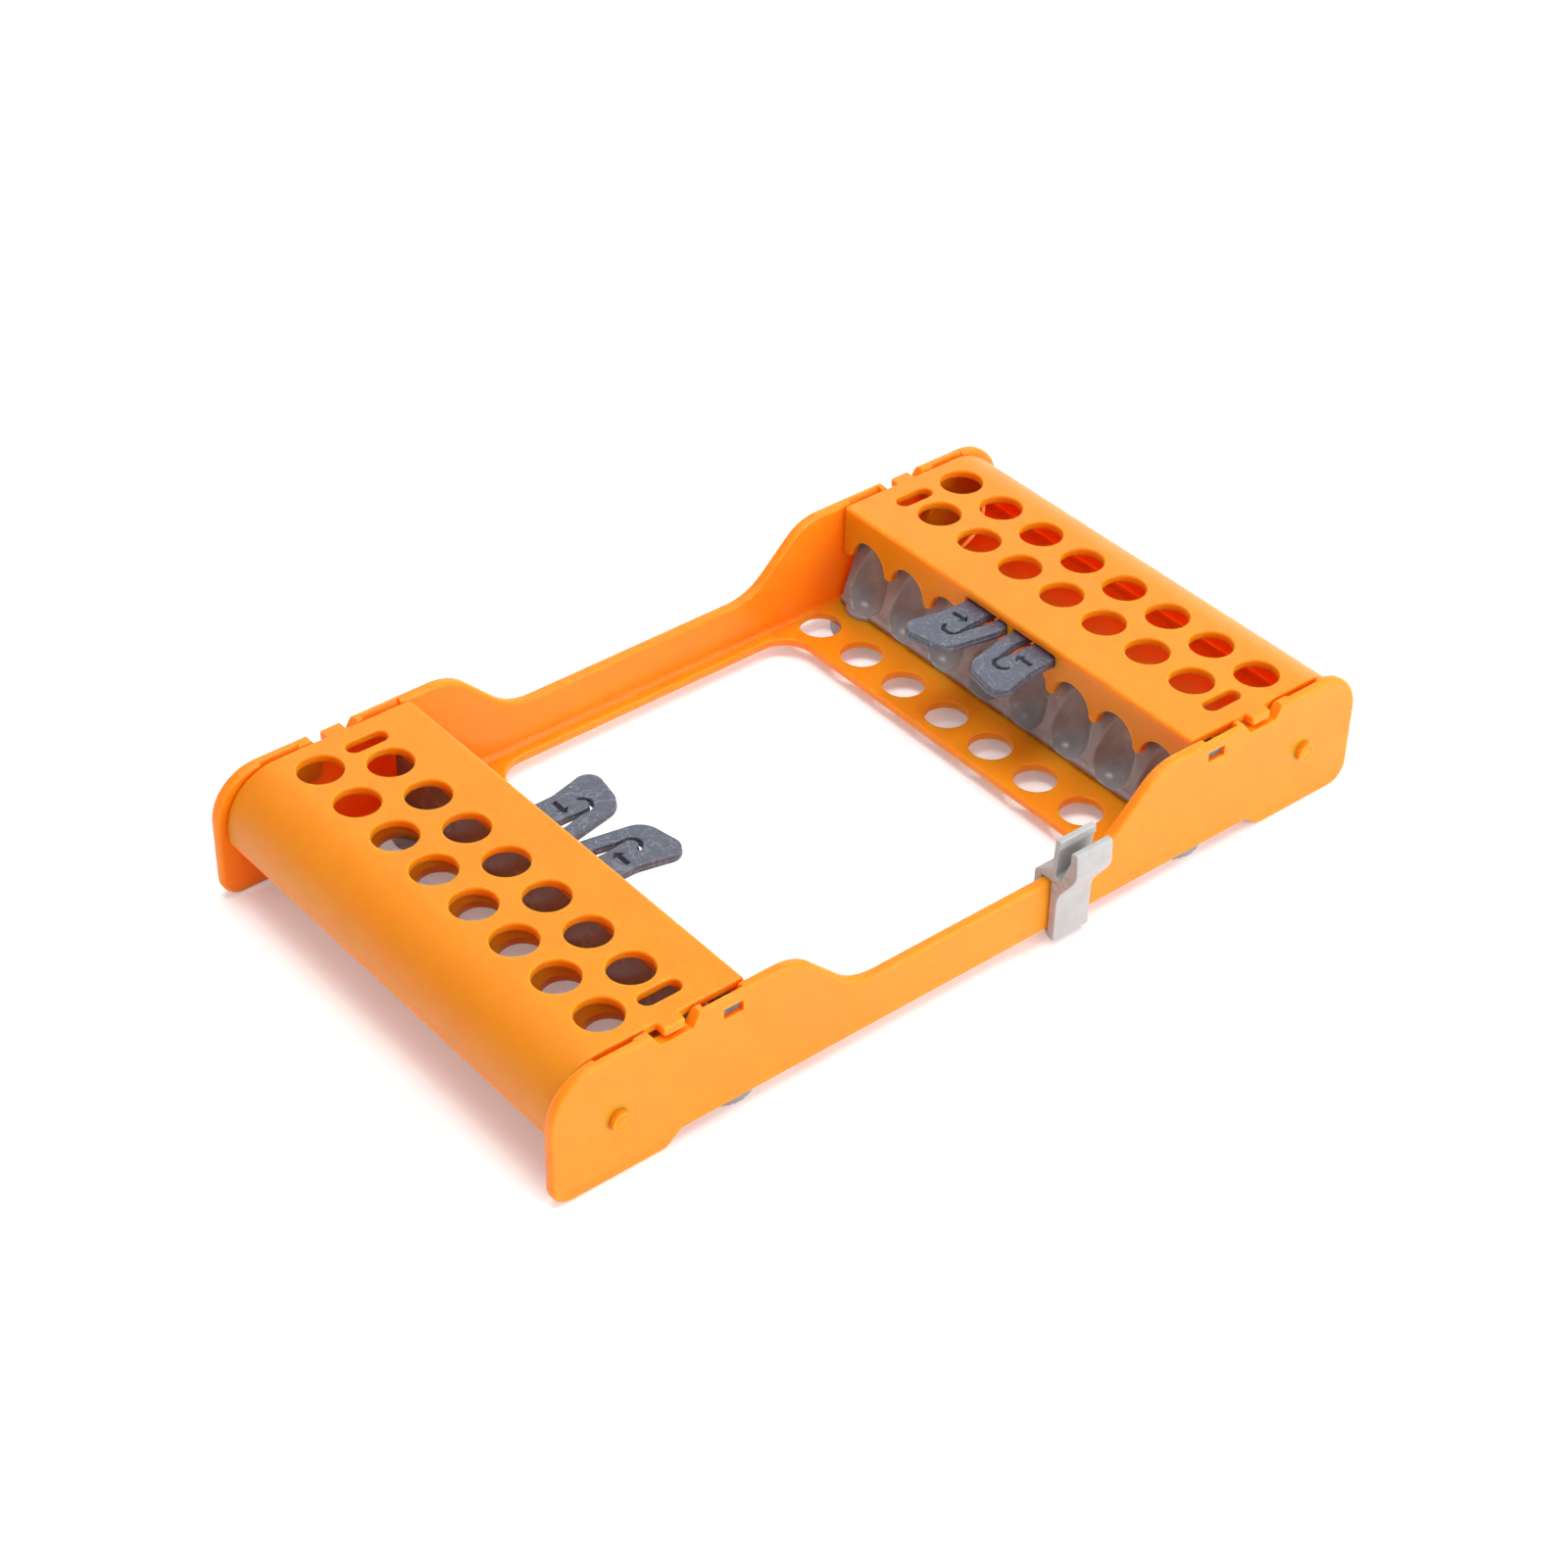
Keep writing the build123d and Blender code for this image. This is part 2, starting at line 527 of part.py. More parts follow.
# ---- rail clip ----
def make_clip():
    """Clip over the front rail, with a slot between two prongs above it."""
    inner = WALL_IN - CLIP_GAP
    outer = WALL_OUT + CLIP_GAP
    over = RAIL_TOP + CLIP_GAP
    under = FLOOR_UNDER - CLIP_GAP
    skin = outer + CLIP_SKIN
    profile = outline([
        (outer - 0.6, under - CLIP_HOOK, 0.3),
        (skin, under - CLIP_HOOK, 1.0),
        (skin, over - 3.0, 6.0),
        (skin + 4.9, over + 4.1, 5.0),
        (skin + 4.45, over + 10.1, 0.6),
        (skin + 2.75, over + 9.9, 0.5),
        (skin + 2.75, over + 7.4, 3.0),
        (skin + 0.45, over + 1.4, 0.7),
        (skin - 1.15, over + 1.4, 0.7),
        (skin - 0.15, over + 10.6, 0.3),
        (skin - 1.55, over + 10.6, 0.4),
        (outer - 0.15, over + 3.4, 1.2),
        (inner - CLIP_SKIN, over + 0.4, 1.2),
        (inner - CLIP_SKIN, CLIP_SKIRT_LOW, 0.4),
        (inner, CLIP_SKIRT_LOW, 0.3),
        (inner, over, 0),
        (outer, over, 0),
        (outer, under, 0),
        (outer - 0.6, under, 0),
    ])
    end_x = RAIL_END_X + CLIP_END_GAP
    return mirror(slab_x(profile, end_x - CLIP_WIDTH, end_x), Plane.XZ)


def nodes():
    """Every node by name."""
    cover = make_cover()
    rest = make_rest()
    parts = {
        "frame": make_frame(),
        "cover_right": cover,
        "cover_left": mirror(cover, Plane.YZ),
        "instrument_rest_right": rest,
        "instrument_rest_left": mirror(rest, Plane.YZ),
        "rail_clip": make_clip(),
    }
    corners = ("right_back", "right_front", "left_back", "left_front")
    for corner, latch in zip(corners, all_quadrants(make_latch())):
        parts["latch_" + corner] = latch
    for corner, leg in zip(corners, all_quadrants(make_latch_spring())):
        parts["latch_spring_" + corner] = leg
    return parts


os.makedirs("parts", exist_ok=True)
for name, solid in nodes().items():
    export_step(solid, "parts/" + name + ".step")
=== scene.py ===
"""The look of a dental instrument cassette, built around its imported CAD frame."""

import math

import bmesh
import bpy
from mathutils import Matrix, Vector


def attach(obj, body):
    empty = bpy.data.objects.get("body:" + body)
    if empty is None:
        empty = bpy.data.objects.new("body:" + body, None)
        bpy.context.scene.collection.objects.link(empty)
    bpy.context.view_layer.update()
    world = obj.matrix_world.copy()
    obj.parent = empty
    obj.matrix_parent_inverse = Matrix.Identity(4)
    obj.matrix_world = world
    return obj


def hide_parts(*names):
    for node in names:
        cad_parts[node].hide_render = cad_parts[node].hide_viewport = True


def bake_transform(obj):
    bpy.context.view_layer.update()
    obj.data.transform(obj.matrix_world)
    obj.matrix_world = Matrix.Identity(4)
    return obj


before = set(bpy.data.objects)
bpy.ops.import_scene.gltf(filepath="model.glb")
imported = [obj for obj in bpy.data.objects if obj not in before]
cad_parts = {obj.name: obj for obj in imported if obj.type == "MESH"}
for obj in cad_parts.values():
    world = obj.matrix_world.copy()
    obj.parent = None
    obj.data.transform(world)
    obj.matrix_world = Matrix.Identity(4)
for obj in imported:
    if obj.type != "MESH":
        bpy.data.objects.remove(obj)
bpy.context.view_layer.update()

# ---- sizes in millimetres, +X along the tray, +Y to its back, +Z up ----
PITCH = 12.7
CHANNEL_Y = [(i - 3.5) * PITCH for i in range(8)]
END_X = 101.1
WALL_OUT = 55.4
WALL_IN = 52.9
WALL_TOP = 28.8
WALL_EDGE = 0.85
END_TOP_R = 10.7
END_FOOT_R = 4.5
FOOT_INNER_X = 75.7
FOOT_STEP_RUN = 3.7
FOOT_STEP_R = 3.0
FLOOR_UNDER = 2.9
FLOOR_TOP = 4.8
FLOOR_END_X = 85.8
FLOOR_EDGE = 0.4
FLOOR_FILLET = 1.3
FILLET_END_X = 84.5
RAIL_TOP = 15.1
SLOPE_TOP_X = 45.35
SLOPE_FOOT_X = 31.17
HUMP_R = 11.5
HOLLOW_R = 13.2
OPENING_X = 39.2
OPENING_Y = 49.9
OPENING_R = 7.0
FLOOR_PITCH = 13.66
STRIP_ROW_X = 46.2
COVERED_ROW_X = 67.7
HOLE_R = 4.6
FLOOR_LIP = 0.5

PIVOT_X = 86.5
PIVOT_Z = 14.0
PIN_R = 2.0
PIN_TIP_Y = 56.65
PIN_RING = (1.0, 1.5, 0.15)     # groove in a pin's end: its radii and depth
BORE_R = 2.07
CURL_R = (8.5, 10.4)
CURL_TOP = 15.0

COVER = 2.0
COVER_TOP = 28.74
COVER_HALF = 52.4
COVER_INNER_X = 56.0
COVER_END_X = 99.3
COVER_END_LOW = 14.1
COVER_END_R = 11.7
COVER_CORNER_R = 0.8
COVER_EDGE = 0.42
COVER_LIP = 0.78
COMB_LOW = 17.2
ARCH_R = 5.2
ARCH_Z = 17.6
TOOTH_RISE = 1.15
INNER_ROW_X = 70.4
OUTER_ROW_X = 82.3
SLOT_LENGTH = 9.2
SLOT_WIDTH = 3.7
SLOT_Y = 46.4
TAB_X = 73.4
TAB_WIDTH = 4.8
TAB_TIP_Y = 54.9
TAB_R = 0.6
EAR_IN = 50.4
EAR_R = 8.6
EAR_FRONT_X = 78.0
EAR_LOW = 21.0
SEAM = 0.02                 # keeps two touching skins from lying in one plane

NOTCH_LOW = 25.9
NOTCH_HALF = 3.6
NOTCH_FLARE = 1.8
WINDOW = (58.35, 62.85, 24.05, 26.35)
LEAD_INS = ((57.9, 66.9, 1.55, 2.6), (81.5, 90.4, 1.0, 2.0))    # start, end, depth, height
CUT_EDGE = 0.32

LATCH_LOW = 24.2
LATCH_TOP = 26.0
LATCH_EDGE = 0.28
LATCH_STEP = (25.0, 0.14)   # parting step around the latch: its height and width
LATCH_ROOT_X = 62.7
LATCH_SPLIT_X = 46.0
LATCH_SPLIT_Y = 5.4
BOLT = (58.5, 62.7, 6.6, 54.6)    # from and to, in X and then in Y
LUG_Y = (18.0, 32.0, 46.0)
LUG = (1.4, 1.5, 0.6)       # a lug's reach, half width and thickness
LUG_GAP = 0.8
POST_R = 1.1
ROOT_IN = 1.0
SLOT_IN = 4.3
SLOT_OUT = 6.6
ROOT_OUT = 13.4
HOOK = (47.35, 7.75)
HOOK_R = (1.5, 2.35)
HOOK_END = 106.6
ARROW = (51.1, 7.5)
ARROW_HEAD = 3.0
ARROW_HEAD_LENGTH = 1.5
ARROW_SHAFT = 1.0
ARROW_LENGTH = 4.4

REST_HALF = 51.6
REST_TOP = 21.2
REST_TOP_X = 60.45
REST_BACK_X = 61.0
REST_FOOT_X = 55.29
REST_FRONT_X = 55.07
REST_LIP = (6.9, 0.55)      # top of the lip along the rest's foot, and half its width
SCOOP_R = 5.25
SCOOP_LOW = 5.45
SLIT = 0.6
SLIT_LOW = 11.0
PAD = (57.67, 46.0)
PAD_R = 7.8
STEM_R = 4.6
SKIN = 0.3                  # grain of the rests' moulded surface

CLIP_X = (17.01, 26.31)
CLIP_EDGE = 0.3
CLIP_RING = (1.15, 1.4, 0.1)    # mould mark on the clip's sides: its radii and depth
CLIP_RING_PLACES = ((56.7, 14.3), (59.4, 17.2))

LIP_REACH = 0.72            # how far up a hole's lip its rounding reaches
HOLE_SIDES = 56
HOLE_RINGS = 20
ARC_STEP = 6.0              # degrees of arc between outline points
CUT_ANGLE = 50              # a cut's edges sharper than this are broken, in degrees
SHARP_ANGLE = 42            # edges sharper than this aren't shaded smooth, in degrees
ENDS = ("front", "back")


# ---- nodes ----
class Socket:
    """An output socket on which Python expressions add Math nodes."""

    def __init__(self, graph, socket):
        self.graph = graph
        self.socket = socket

    def math(self, operation, *values):
        return self.graph.node("ShaderNodeMath", {"operation": operation}, dict(enumerate(values)))

    def __add__(self, other):
        return self.math("ADD", self, other)

    def __radd__(self, other):
        return self.math("ADD", other, self)

    def __sub__(self, other):
        return self.math("SUBTRACT", self, other)

    def __rsub__(self, other):
        return self.math("SUBTRACT", other, self)

    def __mul__(self, other):
        return self.math("MULTIPLY", self, other)

    def __rmul__(self, other):
        return self.math("MULTIPLY", other, self)

    def __truediv__(self, other):
        return self.math("DIVIDE", self, other)

    def at_least(self, other):
        return self.math("MAXIMUM", self, other)

    def at_most(self, other):
        return self.math("MINIMUM", self, other)

    def root(self):
        return self.math("SQRT", self)

    def size(self):
        return self.math("ABSOLUTE", self)


class Graph:
    """A node tree and the one method that adds nodes to it."""

    def __init__(self, tree):
        self.tree = tree
        tree.nodes.clear()

    def node(self, kind, settings=None, inputs=None, output=0):
        made = self.tree.nodes.new(kind)
        for name, value in (settings or {}).items():
            if name == "stops":
                set_stops(made.color_ramp, value)
            else:
                setattr(made, name, value)
        for key, value in (inputs or {}).items():
            for one in value if isinstance(value, list) else [value]:
                if isinstance(one, Socket):
                    self.tree.links.new(one.socket, made.inputs[key])
                else:
                    made.inputs[key].default_value = one
        if isinstance(output, tuple):
            return [Socket(self, made.outputs[name]) for name in output]
        return Socket(self, made.outputs[output]) if made.outputs else made


def set_stops(ramp, stops):
    """Sets a ramp's (place, colour) stops."""
    while len(ramp.elements) < len(stops):
        ramp.elements.new(1.0)
    for element, (place, colour) in zip(ramp.elements, stops):
        element.position = place
        element.color = (*colour, 1.0)


# ---- materials ----
TEXTURE_DEPTH = 0.0001      # metres


def start_material(name):
    """A new material's graph and its Object coordinates."""
    material = bpy.data.materials.new(name)
    material.use_nodes = True
    graph = Graph(material.node_tree)
    place = graph.node("ShaderNodeTexCoord", output="Object")
    return material, graph, place


def finish_material(graph, varying, constants):
    """The shader with its varying and constant inputs, wired to the output."""
    shader = graph.node("ShaderNodeBsdfPrincipled", inputs={**constants, **varying})
    graph.node("ShaderNodeOutputMaterial", inputs={"Surface": shader})


def noise(graph, place, scale, detail=3.0, rough=0.5):
    """Noise from 0 to 1, its scale in features per metre."""
    settings = {"Vector": place, "Scale": scale, "Detail": detail, "Roughness": rough}
    return graph.node("ShaderNodeTexNoise", inputs=settings)


def ramp(graph, value, stops):
    """A colour that runs through (place, colour) stops as the value goes from 0 to 1."""
    return graph.node("ShaderNodeValToRGB", {"stops": stops}, {"Fac": value})


def bump(graph, height, strength):
    """The normal of a fine surface texture."""
    inputs = {"Height": height, "Strength": strength, "Distance": TEXTURE_DEPTH}
    return graph.node("ShaderNodeBump", inputs=inputs)


def stretched(graph, place, scale):
    """Coordinates stretched along an axis, for scratches and flow lines."""
    return graph.node("ShaderNodeMapping", inputs={"Vector": place, "Scale": scale})


def orange_plastic():
    """Glossy moulded plastic, a little translucent, with faint flow marks and a fine texture."""
    material, graph, place = start_material("orange_plastic")
    flow = noise(graph, stretched(graph, place, (1.0, 2.2, 1.4)), 16.0, 2.0)
    grain = noise(graph, place, 2600.0, 2.0, 0.6)
    patches = noise(graph, place, 120.0, 4.0)
    shades = [(0.3, (0.98, 0.235, 0.003)), (0.7, (0.985, 0.27, 0.006))]
    colour = ramp(graph, flow * 0.7 + patches * 0.3, shades)
    roughness = 0.3 + patches * 0.12 + grain * 0.05
    finish_material(
        graph,
        {"Base Color": colour, "Roughness": roughness, "Normal": bump(graph, grain, 0.12)},
        {
            "IOR": 1.5,
            "Specular IOR Level": 0.3,
            "Subsurface Weight": 1.0,
            "Subsurface Radius": (1.0, 0.2, 0.03),
            "Subsurface Scale": 0.0085,
        },
    )
    return material


def latch_plastic():
    """Dark blue-grey plastic, speckled and scuffed by use."""
    material, graph, place = start_material("latch_plastic")
    speckle = noise(graph, place, 1300.0, 3.0, 0.6)
    clouds = noise(graph, place, 150.0, 3.0)
    swirl = noise(graph, stretched(graph, place, (1.0, 1.8, 1.0)), 150.0, 1.5, 0.5)
    fine_swirl = noise(graph, stretched(graph, place, (1.7, 1.0, 1.0)), 310.0, 1.5, 0.5)
    lines = [(one - 0.5).size() * 60.0 for one in (swirl, fine_swirl)]
    marks = 1.0 - lines[0].at_most(lines[1]).at_most(1.0)
    specks = ((speckle - 0.62) * 9.0).at_least(0.0).at_most(1.0)
    wear = (marks * clouds * 0.45).at_least(specks * clouds * 1.3)
    colour = graph.node(
        "ShaderNodeMix",
        {"data_type": "RGBA"},
        {0: wear, 6: (0.075, 0.083, 0.115, 1.0), 7: (0.42, 0.43, 0.48, 1.0)},
        output=2,
    )
    finish_material(
        graph,
        {
            "Base Color": colour,
            "Roughness": 0.3 + clouds * 0.14 + wear * 0.15,
            "Normal": bump(graph, speckle - marks * 0.5, 0.12),
        },
        {"IOR": 1.5},
    )
    return material


def silicone():
    """Matt grey silicone with faint dust."""
    material, graph, place = start_material("silicone")
    mottle = noise(graph, place, 220.0, 4.0)
    grain = noise(graph, place, 2200.0, 2.0)
    colour = ramp(graph, mottle, [(0.3, (0.23, 0.22, 0.225)), (0.75, (0.31, 0.3, 0.305))])
    finish_material(
        graph,
        {
            "Base Color": colour,
            "Roughness": 0.18 + mottle * 0.16,
            "Normal": bump(graph, grain, 0.15),
        },
        {"IOR": 1.43},
    )
    return material


def clip_plastic():
    """Light grey moulded plastic."""
    material, graph, place = start_material("clip_plastic")
    mottle = noise(graph, place, 300.0, 3.0)
    grain = noise(graph, place, 2400.0, 2.0)
    colour = ramp(graph, mottle, [(0.3, (0.38, 0.375, 0.37)), (0.7, (0.44, 0.435, 0.43))])
    finish_material(
        graph,
        {
            "Base Color": colour,
            "Roughness": 0.4 + grain * 0.1,
            "Normal": bump(graph, grain, 0.12),
        },
        {
            "IOR": 1.5,
            "Subsurface Weight": 0.1,
            "Subsurface Radius": (1.0, 1.0, 0.9),
            "Subsurface Scale": 0.001,
        },
    )
    return material


# ---- outlines ----
def arc(centre, radius, start, end):
    """Points on an arc, its angles in degrees."""
    steps = max(2, math.ceil(abs(end - start) / ARC_STEP))
    angles = [math.radians(start + (end - start) * i / steps) for i in range(steps + 1)]
    return [(centre[0] + radius * math.cos(a), centre[1] + radius * math.sin(a)) for a in angles]


def circle(centre, radius):
    return arc(centre, radius, 0, 360)[:-1]


def rounded(corners):
    """Outline points of a polygon from (x, y) or (x, y, corner radius) rows."""
    points = []
    for i, corner in enumerate(corners):
        here = Vector(corner[:2])
        radius = corner[2] if len(corner) > 2 else 0
        if not radius:
            points.append(tuple(here))
            continue
        before = (Vector(corners[i - 1][:2]) - here).normalized()
        after = (Vector(corners[(i + 1) % len(corners)][:2]) - here).normalized()
        half = before.angle(after) / 2
        centre = here + (before + after).normalized() * (radius / math.sin(half))
        first = here + before * (radius / math.tan(half)) - centre
        last = here + after * (radius / math.tan(half)) - centre
        start = math.degrees(math.atan2(first.y, first.x))
        turn = (math.degrees(math.atan2(last.y, last.x)) - start + 180) % 360 - 180
        points += arc(centre, radius, start, start + turn)
    return points


def box_outline(low, high, radius=0.0):
    corners = ((low[0], low[1]), (high[0], low[1]), (high[0], high[1]), (low[0], high[1]))
    return rounded([(*corner, radius) for corner in corners])


# ---- solids ----
# a plate drawn in u and v with its thickness along w, put in the tray's axes
LYING = Matrix.Identity(4)
FACING_X = Matrix(((0, 0, 1, 0), (1, 0, 0, 0), (0, 1, 0, 0), (0, 0, 0, 1)))
FACING_Y = Matrix(((1, 0, 0, 0), (0, 0, -1, 0), (0, 1, 0, 0), (0, 0, 0, 1)))


def evaluated_mesh(obj):
    """The object's mesh with its modifiers applied; the object is removed."""
    depsgraph = bpy.context.evaluated_depsgraph_get()
    mesh = bpy.data.meshes.new_from_object(obj.evaluated_get(depsgraph), depsgraph=depsgraph)
    bpy.data.objects.remove(obj)
    return mesh


def add_object(name, data):
    obj = bpy.data.objects.new(name, data)
    bpy.context.scene.collection.objects.link(obj)
    return obj


def plate(outlines, low, high, edge, axes=LYING, grown=0.0):
    """A flat plate with rounded edges; the outlines after the first are holes."""
    curve = bpy.data.curves.new("plate", "CURVE")
    curve.dimensions = "2D"
    curve.fill_mode = "BOTH"
    curve.extrude = (high - low) / 2 - edge
    curve.bevel_depth = edge
    curve.bevel_resolution = 3
    curve.offset = grown - edge
    for points in outlines:
        spline = curve.splines.new("POLY")
        spline.points.add(len(points) - 1)
        for made, (x, y) in zip(spline.points, points):
            made.co = (x, y, 0, 1)
        spline.use_cyclic_u = True
    solid = bmesh.new()
    solid.from_mesh(evaluated_mesh(add_object("plate", curve)))
    bmesh.ops.remove_doubles(solid, verts=solid.verts, dist=0.0005)
    bmesh.ops.dissolve_limit(solid, angle_limit=0.004, verts=solid.verts, edges=solid.edges)
    w = Vector((0, 0, (high + low) / 2))
    bmesh.ops.transform(solid, matrix=axes @ Matrix.Translation(w), verts=solid.verts)
    if axes.determinant() < 0:
        bmesh.ops.reverse_faces(solid, faces=solid.faces)
    return solid


def mirrored(solid, axis):
    """A mirror image of a solid, its faces still pointing outwards."""
    twin = solid.copy()
    bmesh.ops.transform(twin, matrix=Matrix.Scale(-1, 4, axis), verts=twin.verts)
    bmesh.ops.reverse_faces(twin, faces=twin.faces)
    return twin


def front_and_back(solid):
    return [solid, mirrored(solid, Vector((0, 1, 0)))]


def both_ends(solid):
    return [solid, mirrored(solid, Vector((1, 0, 0)))]


def joined(solids):
    """Several solids as one bmesh."""
    whole = bmesh.new()
    for solid in solids:
        mesh = bpy.data.meshes.new("part")
        solid.to_mesh(mesh)
        whole.from_mesh(mesh)
        bpy.data.meshes.remove(mesh)
    return whole


def as_mesh(solid, name):
    mesh = bpy.data.meshes.new(name)
    solid.to_mesh(mesh)
    return mesh


def prism(corners, low, high, axes):
    """A sharp-edged prism, used for cutting."""
    solid = bmesh.new()
    rings = [[solid.verts.new((x, y, w)) for x, y in corners] for w in (low, high)]
    count = len(corners)
    solid.faces.new(rings[0])
    solid.faces.new(rings[1])
    for i in range(count):
        j = (i + 1) % count
        solid.faces.new((rings[0][i], rings[0][j], rings[1][j], rings[1][i]))
    bmesh.ops.transform(solid, matrix=axes, verts=solid.verts)
    bmesh.ops.recalc_face_normals(solid, faces=solid.faces)
    return solid


def with_tool(solid, tools, operation):
    """An object that adds the tools to the solid or takes them off it, and the tools' object."""
    work = add_object("work", as_mesh(solid, "work"))
    tool = add_object("tool", as_mesh(joined(tools), "tool"))
    change = work.modifiers.new("change", "BOOLEAN")
    change.operation = operation
    change.solver = "EXACT"
    change.use_self = True
    change.object = tool
    return work, tool


def fused(solids):
    """Overlapping solids as one skin."""
    work, tool = with_tool(solids[0], solids[1:], "UNION")
    mesh = evaluated_mesh(work)
    bpy.data.objects.remove(tool)
    result = bmesh.new()
    result.from_mesh(mesh)
    return result


def cut(solid, cutters, edge):
    """The solid less its cutters, the cut's sharp edges broken."""
    work, tool = with_tool(solid, cutters, "DIFFERENCE")
    softened = work.modifiers.new("edge", "BEVEL")
    softened.width = edge
    softened.segments = 2
    softened.limit_method = "ANGLE"
    softened.angle_limit = math.radians(CUT_ANGLE)
    softened.use_clamp_overlap = True
    softened.loop_slide = False
    mesh = evaluated_mesh(work)
    bpy.data.objects.remove(tool)
    result = bmesh.new()
    result.from_mesh(mesh)
    return result


def divide(solid, x, snap):
    """Adds edges to the solid where the plane at x crosses it."""
    parts = solid.verts[:] + solid.edges[:] + solid.faces[:]
    bmesh.ops.bisect_plane(solid, geom=parts, plane_co=(x, 0, 0), plane_no=(1, 0, 0), dist=snap)


# ---- perforation ----
def perforation_tree():
    """Drills a row of round holes with rounded lips through a plate that lies in X and Y."""
    tree = bpy.data.node_groups.new("perforation", "GeometryNodeTree")
    sockets = (
        ("Plate", "NodeSocketGeometry"),
        ("Count", "NodeSocketInt"),
        ("First", "NodeSocketVector"),
        ("Step", "NodeSocketVector"),
        ("Radius", "NodeSocketFloat"),
        ("Lip", "NodeSocketFloat"),
        ("Half Thickness", "NodeSocketFloat"),
        ("Material", "NodeSocketMaterial"),
    )
    for name, kind in sockets:
        tree.interface.new_socket(name, in_out="INPUT", socket_type=kind)
    tree.interface.new_socket("Plate", in_out="OUTPUT", socket_type="NodeSocketGeometry")
    graph = Graph(tree)
    names = tuple(name for name, _ in sockets)
    body, count, first, step, radius, lip, half, material = graph.node("NodeGroupInput", output=names)
    sizes = {"Vertices": HOLE_SIDES, "Side Segments": HOLE_RINGS, "Radius": 1.0, "Depth": half * 2.1}
    drill = graph.node("GeometryNodeMeshCylinder", inputs=sizes)
    position = graph.node("GeometryNodeInputPosition")
    x, y, z = graph.node("ShaderNodeSeparateXYZ", inputs={0: position}, output=("X", "Y", "Z"))
    above = ((z.size() - half) / lip + LIP_REACH).at_least(0.0).at_most(0.98)
    reach = radius + lip * (1.0 - (1.0 - above * above).root())
    flared = graph.node("ShaderNodeCombineXYZ", inputs={"X": x * reach, "Y": y * reach, "Z": z})
    drill = graph.node("GeometryNodeSetPosition", inputs={"Geometry": drill, "Position": flared})
    row = graph.node(
        "GeometryNodeMeshLine", inputs={"Count": count, "Start Location": first, "Offset": step}
    )
    drills = graph.node("GeometryNodeInstanceOnPoints", inputs={"Points": row, "Instance": drill})
    drills = graph.node("GeometryNodeRealizeInstances", inputs={"Geometry": drills})
    drilled = graph.node(
        "GeometryNodeMeshBoolean", {"operation": "DIFFERENCE", "solver": "EXACT"}, {0: body, 1: drills}
    )
    whole = graph.node("GeometryNodeRealizeInstances", inputs={"Geometry": drilled})
    whole = graph.node("GeometryNodeSetMaterial", inputs={"Geometry": whole, "Material": material})
    graph.node("NodeGroupOutput", inputs={0: whole})
    return tree


def perforated(solid, rows, lip, low, high, material):
    """The plate with each (x, hole count, pitch) row of holes drilled through it."""
    middle = (low + high) / 2
    work = add_object("work", as_mesh(solid, "work"))
    for x, count, pitch in rows:
        values = {
            "Count": count,
            "First": (x, -(count - 1) / 2 * pitch, middle),
            "Step": (0.0, pitch, 0.0),
            "Radius": HOLE_R,
            "Lip": lip,
            "Half Thickness": (high - low) / 2,
            "Material": material,
        }
        drilling = work.modifiers.new("drilling", "NODES")
        drilling.node_group = PERFORATION
        for item in PERFORATION.interface.items_tree:
            if item.in_out == "INPUT" and item.name in values:
                drilling[item.identifier] = values[item.name]
    result = bmesh.new()
    result.from_mesh(evaluated_mesh(work))
    return result


# ---- frame ----
def side_wall():
    """The back wall: humps, rail and feet, with its notches, windows, bores and ramps."""
    right = [
        (FOOT_INNER_X - FOOT_STEP_RUN, FLOOR_UNDER, FOOT_STEP_R),
        (FOOT_INNER_X, 0, FOOT_STEP_R),
        (END_X, 0, END_FOOT_R),
        (END_X, WALL_TOP, END_TOP_R),
        (SLOPE_TOP_X, WALL_TOP, HUMP_R),
        (SLOPE_FOOT_X, RAIL_TOP, HOLLOW_R),
    ]
    left = [(-x, z, r) for x, z, r in reversed(right)]
    wall = plate([rounded(right + left)], -WALL_OUT, -WALL_IN, WALL_EDGE, FACING_Y)
    through = (-WALL_OUT - COVER, -WALL_IN + COVER)
    notch = (
        (TAB_X - NOTCH_HALF, NOTCH_LOW),
        (TAB_X + NOTCH_HALF, NOTCH_LOW),
        (TAB_X + NOTCH_HALF + NOTCH_FLARE, WALL_TOP + SEAM),
        (TAB_X - NOTCH_HALF - NOTCH_FLARE, WALL_TOP + SEAM),
    )
    x0, x1, z0, z1 = WINDOW
    cutters = [
        prism(notch, *through, FACING_Y),
        prism(((x0, z0), (x1, z0), (x1, z1), (x0, z1)), *through, FACING_Y),
        prism(circle((PIVOT_X, PIVOT_Z), BORE_R), *through, FACING_Y),
    ]
    cutters += [lead_in(*sizes) for sizes in LEAD_INS]
    return cut(wall, [twin for cutter in cutters for twin in both_ends(cutter)], CUT_EDGE)


def lead_in(start, end, depth, height):
    """Cutter for a ramp into the wall's inner top edge."""
    slope = depth / height
    top, foot = WALL_TOP + 1, WALL_TOP - height - 1
    section = ((WALL_IN - slope, foot), (WALL_IN + depth + slope, top), (WALL_IN - slope, top))
    return prism(section, start, end, FACING_X)


